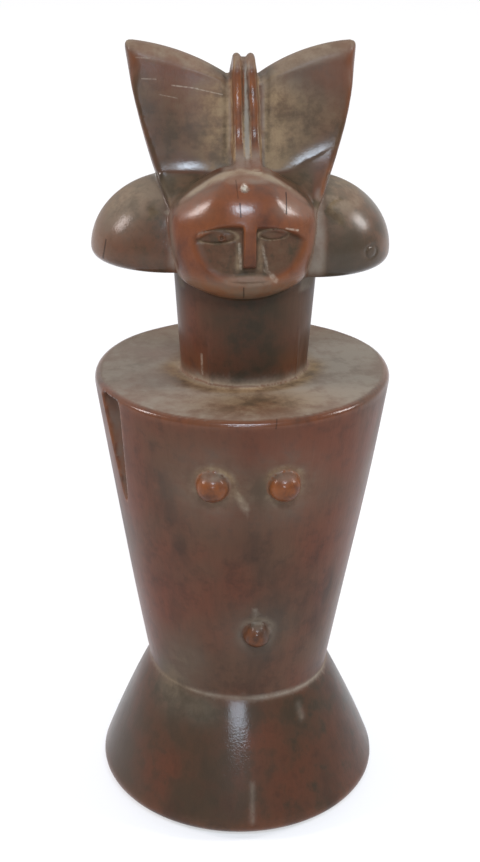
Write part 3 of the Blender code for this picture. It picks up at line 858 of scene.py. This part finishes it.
def dust_and_light_over(at):
    """How thick the pale dust lies. On the forehead's side highlights, on the lower face and in the notch it
    also stands for painted light.
    """
    on_shoulder = 0.85 + 0.15 * step(at.x - 4.0, 10.0) - 0.36 * at.neck_front
    dust = np.zeros(len(at.p))
    for part, amount in (
            (at.shoulder, on_shoulder), (at.neck_front, 0.5), (at.neck_foot, 0.9),
            (at.waist, 0.6 + 0.25 * step(at.x, 10.0)), (at.waist_grime, 0.33),
            (at.notch, 0.3), (at.notch_edge, 0.6), (at.halo, 0.85), (at.chest, 0.27), (at.smears, 1.0),
            (at.wing_dust, 0.9), (at.wing_edge, 0.65), (at.crest_side, 0.9), (at.crest_groove, 1.15),
            (at.crest_foot, 0.5), (at.gutter, 0.95), (at.floor, 0.15), (at.lobe_dust, 0.75),
            (at.temple, 0.6), (at.gable, 1.0), (at.sunk, 0.17), (at.pit, 1.6), (at.lids, 0.75),
            (at.scuffs, 0.38), (at.beside_nose, 0.6), (at.mouth, 0.45)):
        dust = np.maximum(dust, part * amount)
    under_head = step(at.z - 108.0, 2.0) * step(15.2 - at.rho, 0.5) * step(118.5 - at.z, 1.0)
    corners = step(at.closed - 0.3, 0.4) * 0.8 * (1 - 0.6 * at.sunk) * (1 - at.notch) * (1 - under_head)
    dust = np.maximum(dust, corners) * (1 - 0.85 * at.rim)
    return np.maximum(dust, 0.6 * at.jaw_wear * (0.6 + 0.4 * at.rim))


def ochre_in(at):
    """How sandy the dust is, where 0 is grey."""
    return np.clip(
        at.neck_front + 0.5 * at.neck_foot + 0.9 * at.wing_front + 0.4 * at.gable + 0.5 * at.halo
        + 0.6 * at.waist_grime + at.crest_side + 0.8 * at.floor + 0.8 * at.sunk + 0.4 * at.lobes
        + 0.4 * at.wing_edge + 0.5 * at.chest + 0.6 * at.jaw_wear - at.crest_groove, 0.0, 1.0)


def warmth_of(at):
    """Where handling has bared the warm red wood. On the lower face and in the notch the warm wood also
    stands for painted light.
    """
    warm = (0.5 - 0.25 * at.on_shoulder) * at.rim * (1 - at.face * step(at.up, 0.3)) + at.knob_low
    skin = at.face * (1 - at.sunk) * (1 - at.gable) * step(at.ahead - 0.1, 0.4)
    warm = warm + (0.45 - 0.12 * at.nose) * skin
    warm = warm + 0.75 * at.worn_sole + 0.3 * at.notch + 0.35 * at.jaw_wear + 0.4 * at.lobes
    neck_sides = step(NECK_FOOT_RADIUS + 1.8 - at.rho, 0.6) * step(np.abs(at.x + 0.6) - 6.3, 1.5)
    warm = warm + 0.35 * neck_sides * within(at.z, 95.5, 103.0, 1.0, 5.0)
    crest_front = step(2.6 - at.off, 0.6) * within(at.z, 139.0, 154.0, 2.0, 3.0)
    return warm + 1.15 * crest_front * (1 - at.crest_groove) * (1 - at.crest_side)


def grime_and_shade_on(at):
    """How dark each place is: dirt, painted shade in corners and on the wing floors, and painted shadow on
    the neck under the head. The sunk cheeks are painted darker too.
    """
    # The neck is painted darker at its front middle: painted shadow under the head.
    neck = at.neck * (0.25 + 0.65 * near(at.x, 0.8, 7.5, 4))
    clean_lobe = bump_at(at.p, (-27.0, 0.0, 121.0), (5.0, 12.0, 5.0))
    foot = (0.66 + 0.25 * step(at.x - 5.0, 8.0)) * step(29.0 - at.z, 3.0) * (1 - at.worn_sole)
    # closed darkens every corner and floor darkens the wing floors: painted shade, with the floors' own dust.
    # The sunk cheeks are painted darker.
    return (0.7 * at.wing_front + neck + 0.95 * at.floor + 1.1 * at.sunk + 0.1 * at.notch
            + 0.6 * at.chest + 0.8 * at.neck_front + 0.75 * at.waist_grime
            + 0.85 * at.lobes * (1 - 0.6 * clean_lobe) + foot + 0.5 * at.closed * (1 - at.crest_groove))


def gloss_of(at):
    """How much hands have polished the wood."""
    brow = step(np.abs(at.x - HEAD_X) - 10.0, 2.5) * step(at.z - 126.0, 3.0)
    face = at.face * (1 - 0.8 * brow) * (0.1 + 0.5 * step(at.z - 127.5, 2.0))
    foot_front = bump_at(at.p, (0.0, -21.0, 21.0), (14.0, 9.0, 9.0)) * step(28.0 - at.z, 1.0)
    foot_sides = step(np.abs(at.x) - 19.0, 5.0) * step(26.0 - at.z, 3.0)
    gloss = 0.3 + (0.65 - 0.13 * step(at.x, 1.0)) * at.shine_band + 0.6 * at.rim * (1 - at.face) + face
    gloss = gloss + 0.1 * at.knob_low + 0.45 * at.lobes + 0.4 * at.jaw + 0.7 * foot_front + 0.25 * foot_sides
    matt = np.maximum.reduce([
        at.floor, at.sunk, 0.9 * at.slope, 0.6 * at.nose, at.notch, at.wing_edge, at.gable, at.neck_foot,
        at.temple, 0.6 * at.neck, at.crest_foot, 0.8 * at.wing_front * (1 - at.shine_band)])
    nose_top = bump_at(at.p, (0.2, -17.5, 129.2), (2.4, 4.0, 1.5))
    return np.minimum(gloss, 1.0) * (1 - 0.92 * matt) * (1 - 0.85 * nose_top)


def paint(figure, p, normal):
    """Stores how much dust, ochre in it, warm polish, dark dirt and shine each vertex has. The dust and warm
    polish carry painted light in places, and the dark dirt carries painted shade.
    """
    at = look_at(p, normal)
    # In this order, because the later masks use earlier ones.
    for mask in (mask_bosses, mask_body, mask_hair, mask_face):
        mask(at)
    values = (dust_and_light_over(at), ochre_in(at), warmth_of(at), grime_and_shade_on(at), gloss_of(at))
    for name, value in zip(LAYER_NAMES, values):
        layer = figure.data.attributes.new(name, "FLOAT", "POINT")
        layer.data.foreach_set("value", np.ascontiguousarray(np.clip(value, 0.0, 1.6), np.float32))


# -------- material

class Nodes:
    """Short calls that add shader nodes to one material or world."""

    def __init__(self, owner):
        owner.use_nodes = True
        self.tree = owner.node_tree

    def add(self, kind, inputs=(), **settings):
        node = self.tree.nodes.new("ShaderNode" + kind)
        for key, value in settings.items():
            setattr(node, key, value)
        for socket, value in dict(inputs).items():
            self.put(node.inputs[socket], value)
        return node

    def put(self, socket, value):
        if isinstance(value, bpy.types.NodeSocket):
            self.tree.links.new(value, socket)
        else:
            socket.default_value = value

    def math(self, operation, *values):
        return self.add("Math", dict(enumerate(values)), operation=operation).outputs[0]

    def times(self, one, two):
        return self.math("MULTIPLY", one, two)

    def plus(self, one, two):
        return self.math("ADD", one, two)

    def ramp(self, value, low, high, to_low=0.0, to_high=1.0):
        inputs = {"Value": value, "From Min": low, "From Max": high, "To Min": to_low, "To Max": to_high}
        return self.add("MapRange", inputs, interpolation_type="SMOOTHSTEP").outputs[0]

    def mix(self, share, one, two):
        node = self.add("Mix", data_type="RGBA")
        for number, value in ((0, share), (6, one), (7, two)):
            self.put(node.inputs[number], value)
        return node.outputs[2]

    def noise(self, place, scale, detail, roughness):
        inputs = {"Vector": place, "Scale": scale, "Detail": detail, "Roughness": roughness}
        return self.add("TexNoise", inputs).outputs[0]

    def stretched(self, place, scale, shift=(0.0, 0.0, 0.0)):
        return self.add("Mapping", {"Vector": place, "Scale": scale, "Location": shift}).outputs[0]

    def attribute(self, name):
        return self.add("Attribute", attribute_name=name).outputs["Fac"]

    def bump(self, height, strength, depth):
        return self.add("Bump", {"Height": height, "Strength": strength, "Distance": depth}).outputs[0]

    def line(self, place, start, end, width):
        """1 on a thin line from start to end (in mm), 0 beside it."""
        start, end = Vector(start) * MM, Vector(end) * MM
        span = end - start
        slope = span / span.length_squared
        from_start = self.add("VectorMath", {0: place, 1: start}, operation="SUBTRACT").outputs[0]
        along = self.add("VectorMath", {0: from_start, 1: slope}, operation="DOT_PRODUCT").outputs["Value"]
        share = self.add("Clamp", {"Value": along}).outputs[0]
        foot = self.add("VectorMath", {0: span, "Scale": share}, operation="SCALE").outputs[0]
        off = self.add("VectorMath", {0: from_start, 1: foot}, operation="DISTANCE").outputs["Value"]
        return self.ramp(off, 0.3 * width * MM, width * MM, 1.0, 0.0)

    def lines(self, place, marks):
        """The strongest of several lines seen from the front."""
        together = 0.0
        for ax, az, bx, bz, width, strength in marks:
            line = self.line(place, (ax, 0.0, az), (bx, 0.0, bz), width)
            together = self.math("MAXIMUM", together, self.times(line, strength))
        return together


def old_wood():
    material = bpy.data.materials.new("Polished_Hardwood")
    n = Nodes(material)
    shader = n.tree.nodes["Principled BSDF"]
    spot = n.add("TexCoord")
    place = spot.outputs["Object"]
    along = n.stretched(place, (1.0, 1.0, 0.07))
    across = n.stretched(place, (0.16, 0.16, 1.0))
    longish = n.stretched(place, (1.0, 1.0, 0.45), (0.3, 0.1, 0.0))
    flat = n.stretched(place, (1.0, 0.0, 1.0))
    facing = n.add("SeparateXYZ", {0: spot.outputs["Normal"]}).outputs["Y"]
    in_front = n.ramp(facing, -0.3, -0.1, 1.0, 0.0)
    slow = n.noise(place, 38.0, 3.0, 0.55)
    patches = n.noise(longish, 75.0, 5.0, 0.6)
    blots = n.noise(place, 300.0, 4.0, 0.65)
    rubs = n.noise(across, 420.0, 3.0, 0.6)
    streaks = n.noise(along, 900.0, 3.0, 0.6)
    pores = n.noise(along, 3600.0, 2.0, 0.5)
    speck = n.noise(place, 1500.0, 3.0, 0.6)
    grain = n.noise(place, 2800.0, 2.0, 0.5)
    dust, ochre, warm, dark, gloss = (n.attribute(name) for name in LAYER_NAMES)

    deep = (0.014, 0.010, 0.007, 1.0)
    red = (0.084, 0.026, 0.013, 1.0)
    brown = (0.066, 0.032, 0.018, 1.0)
    amber = (0.144, 0.044, 0.012, 1.0)
    grey = (0.200, 0.168, 0.132, 1.0)
    sand = (0.212, 0.142, 0.078, 1.0)
    grime_and_shade = (0.024, 0.018, 0.011, 1.0)
    pale = (0.420, 0.350, 0.270, 1.0)
    black = (0.006, 0.004, 0.003, 1.0)

    # Wood, from brown to red, with darker patches, bared amber, fine streaks, and dark dirt with painted
    # shade.
    colour = n.mix(n.ramp(slow, 0.36, 0.64), brown, red)
    colour = n.mix(n.ramp(patches, 0.47, 0.72, 0.0, 0.6), colour, deep)
    colour = n.mix(n.ramp(blots, 0.45, 0.72, 0.0, 0.35), colour, deep)
    mottle = n.plus(patches, n.times(blots, 0.6))
    bared = n.times(warm, n.ramp(mottle, 0.62, 0.98, 1.0, 0.05))
    colour = n.mix(bared, colour, amber)
    colour = n.mix(n.ramp(streaks, 0.40, 0.70, 0.0, 0.10), colour, deep)
    dirt_and_shade = n.times(dark, n.ramp(n.plus(slow, blots), 0.85, 1.15, 1.0, 0.42))
    colour = n.mix(n.math("MINIMUM", dirt_and_shade, 0.9), colour, grime_and_shade)

    # Dust, broken up more where it is ochre, then the light scratches and the dark cracks. In places the dust
    # stands for painted light.
    uneven = n.plus(n.times(patches, 0.45), n.plus(n.times(blots, 0.55), n.times(speck, 0.08)))
    uneven = n.plus(uneven, n.times(rubs, 0.2))
    broken = n.mix(ochre, n.ramp(uneven, 0.50, 0.78, 0.6, 1.15), n.ramp(uneven, 0.53, 0.77, 0.32, 1.22))
    dusty = n.math("MINIMUM", n.times(dust, broken), 1.0)
    colour = n.mix(n.times(dusty, 0.88), colour, n.mix(ochre, grey, sand))
    scratched = n.times(n.lines(flat, SCRATCHES), in_front)
    scratched = n.times(scratched, n.ramp(speck, 0.40, 0.60, 0.35, 1.0))
    colour = n.mix(n.times(scratched, 0.6), colour, pale)
    cracked = n.times(n.lines(flat, CRACKS), in_front)
    colour = n.mix(cracked, colour, black)
    n.put(shader.inputs["Base Color"], colour)

    # A dull base under a thin polish that dust and cracks take away.
    rough = n.ramp(patches, 0.3, 0.7, 0.34, 0.46)
    n.put(shader.inputs["Roughness"], n.plus(rough, n.times(dusty, 0.35)))
    shader.inputs["Specular IOR Level"].default_value = 0.08
    clean = n.times(n.ramp(dusty, 0.1, 0.7, 1.0, 0.0), n.ramp(cracked, 0.0, 1.0, 1.0, 0.0))
    sparkle = n.ramp(grain, 0.38, 0.58, 0.7, 1.0)
    n.put(shader.inputs["Coat Weight"], n.times(n.times(clean, gloss), sparkle))
    smooth = n.ramp(gloss, 0.3, 0.9, 0.20, 0.125)
    by_warmth = n.times(n.ramp(warm, 0.25, 0.4, 1.0, 1.45), n.ramp(warm, 0.6, 0.8, 1.0, 0.35))
    n.put(shader.inputs["Coat Roughness"], n.times(smooth, by_warmth))
    shader.inputs["Coat IOR"].default_value = 1.33
    height = n.plus(n.times(pores, 0.2), n.times(streaks, 0.35))
    height = n.plus(height, n.times(speck, n.times(dusty, 0.9)))
    fine = n.plus(n.times(pores, 0.4), n.times(grain, 1.1))
    n.put(shader.inputs["Normal"], n.bump(height, 0.35, 0.00012))
    n.put(shader.inputs["Coat Normal"], n.bump(fine, 0.3, 0.00006))
    return material


# -------- studio

def soft_light(name, direction, size, power, colour, target, distance=1.1):
    """An area light that faces the target from an azimuth and elevation given in degrees."""
    light = bpy.data.lights.new(name, "AREA")
    light.shape = "RECTANGLE"
    light.size, light.size_y = size
    light.energy = power
    light.color = colour
    lamp = bpy.data.objects.new(name, light)
    bpy.context.scene.collection.objects.link(lamp)
    azimuth, elevation = (math.radians(a) for a in direction)
    level = math.cos(elevation)
    away = Vector((math.sin(azimuth) * level, -math.cos(azimuth) * level, math.sin(elevation)))
    lamp.location = target + away * distance
    lamp.rotation_euler = away.to_track_quat("Z", "Y").to_euler()


def pale_paper():
    """Paper that glows a little more with distance, as under soft light from all around."""
    paper = bpy.data.materials.new("Pale_Paper")
    n = Nodes(paper)
    sheet = n.tree.nodes["Principled BSDF"]
    sheet.inputs["Base Color"].default_value = (0.34, 0.34, 0.35, 1.0)
    sheet.inputs["Roughness"].default_value = 0.95
    sheet.inputs["Specular IOR Level"].default_value = 0.1
    sheet.inputs["Emission Color"].default_value = (1.0, 1.0, 1.0, 1.0)
    place = n.add("TexCoord").outputs["Object"]
    far = n.add("VectorMath", {0: place}, operation="LENGTH").outputs["Value"]
    n.put(sheet.inputs["Emission Strength"], n.ramp(far, 0.1, 1.2, 0.52, 0.74))
    return paper


def studio(low, high):
    bpy.ops.mesh.primitive_plane_add(size=8.0, location=(0.0, 0.0, low.z))
    floor = bpy.context.object
    floor.name = "floor"
    floor.data.materials.append(pale_paper())
    world = bpy.data.worlds.new("Studio")
    bpy.context.scene.world = world
    n = Nodes(world)
    way = n.add("TexCoord").outputs["Generated"]
    back = n.add("SeparateXYZ", {0: way}).outputs["Y"]
    background = n.tree.nodes["Background"]
    n.put(background.inputs["Strength"], n.ramp(back, -0.5, 0.7, 0.30, 1.0))
    background.inputs["Color"].default_value = (1.0, 0.99, 0.98, 1.0)
    middle = (low + high) / 2
    soft_light("front_window", (0.0, 45.0), (0.40, 0.22), 12.0, (0.74, 0.86, 1.0), middle)
    soft_light("low_front", (-2.0, 17.0), (0.30, 0.12), 3.2, (0.72, 0.85, 1.0), middle)
    soft_light("right_side", (-86.0, 31.0), (0.24, 0.34), 8.0, (1.0, 0.88, 0.85), middle)
    soft_light("left_side", (86.0, 31.0), (0.24, 0.34), 8.0, (1.0, 0.95, 0.93), middle)
    bpy.context.scene.view_settings.view_transform = "Standard"


def camera():
    lens = bpy.data.cameras.new("camera")
    lens.lens = CAMERA_LENS
    lens.sensor_width = 36.0
    lens.clip_start = 0.01
    eye = bpy.data.objects.new("camera", lens)
    eye.location = CAMERA_PLACE
    eye.rotation_euler = [math.radians(angle) for angle in CAMERA_TURN]
    bpy.context.scene.collection.objects.link(eye)
    bpy.context.scene.camera = eye


camera()
studio(CAD_LOW, CAD_HIGH)
figure, places, normals = carved_figure()
paint(figure, places, normals)
figure.data.materials.clear()
figure.data.materials.append(old_wood())
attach(figure, "root")
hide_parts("figure")
